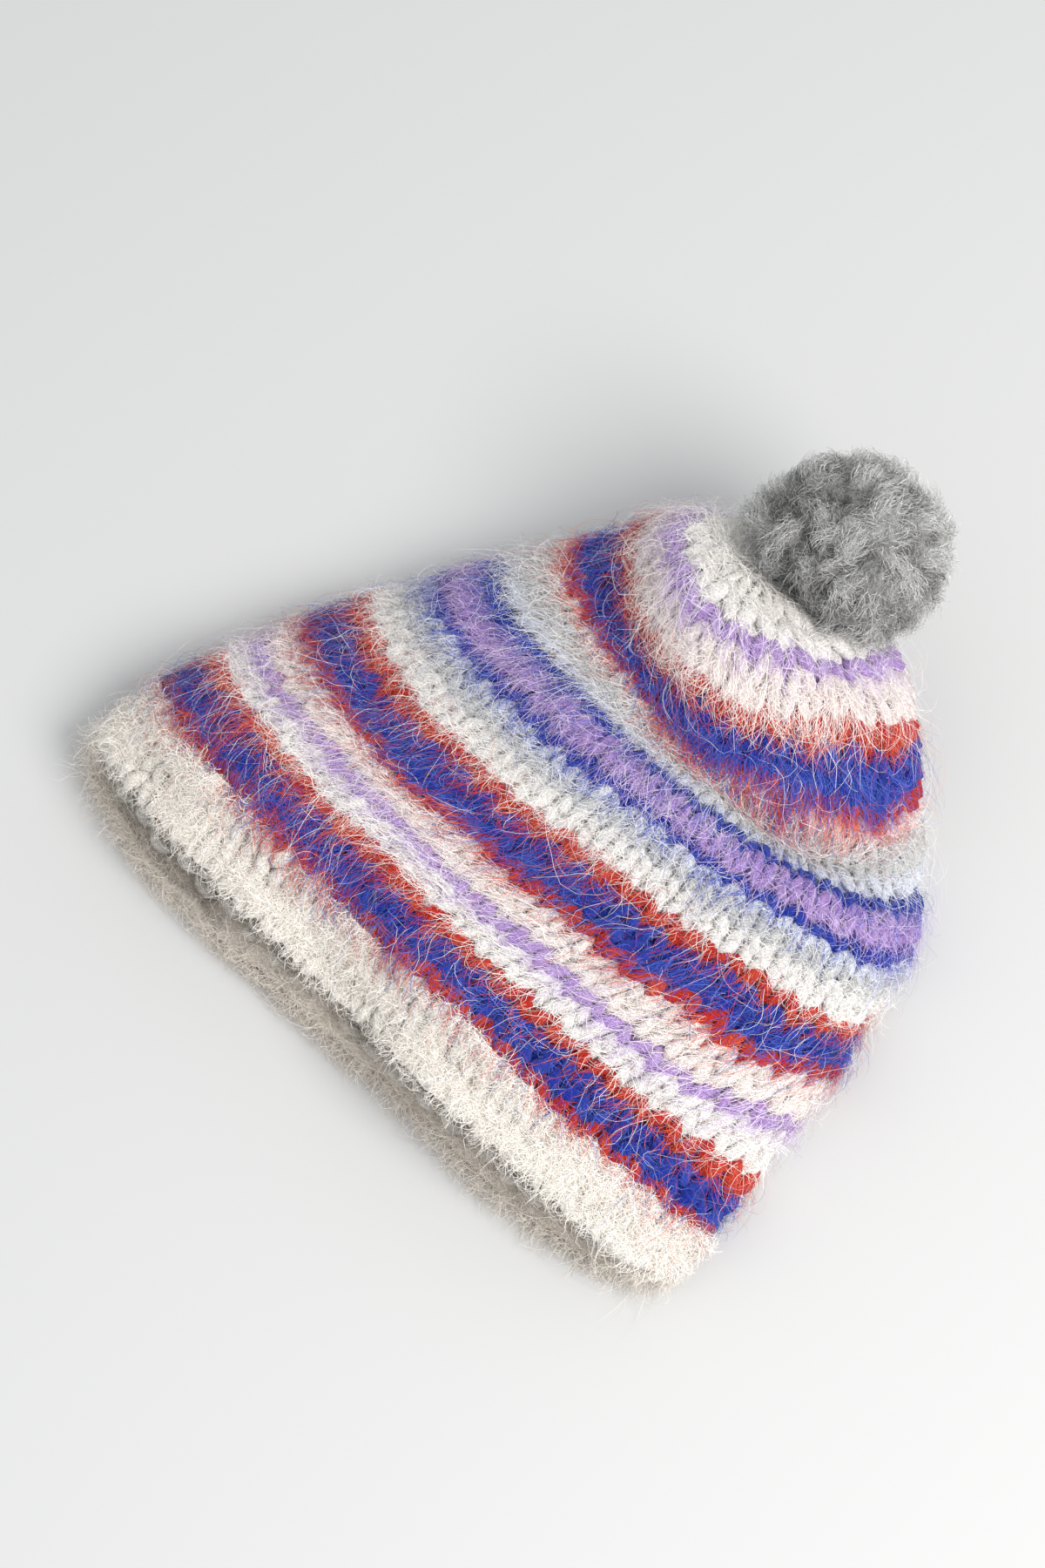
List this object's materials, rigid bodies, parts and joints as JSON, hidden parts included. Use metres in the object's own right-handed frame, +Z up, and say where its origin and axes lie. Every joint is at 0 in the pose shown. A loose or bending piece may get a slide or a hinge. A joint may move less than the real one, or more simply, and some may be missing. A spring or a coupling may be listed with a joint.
{
  "type": "knitted beanie",
  "caption": "Slouchy striped knitted beanie with a plain edge band, a gathered top and a yarn pompom, lying on its side.",
  "frame": {"origin": "on the floor, under the middle of the whole hat's box", "axes": "+Z up from the floor the hat lies on, +X along the flattened edge band, +Y from the opening towards the gathered top"},
  "size_m": [0.2584, 0.2366, 0.1028],
  "materials": {
    "striped_wool": "matte",
    "ivory_wool": "matte",
    "grey_wool": "matte"
  },
  "bodies": {
    "root": {"crown": "striped_wool", "brim": "ivory_wool", "pompom": "grey_wool"}
  },
  "joints": []
}
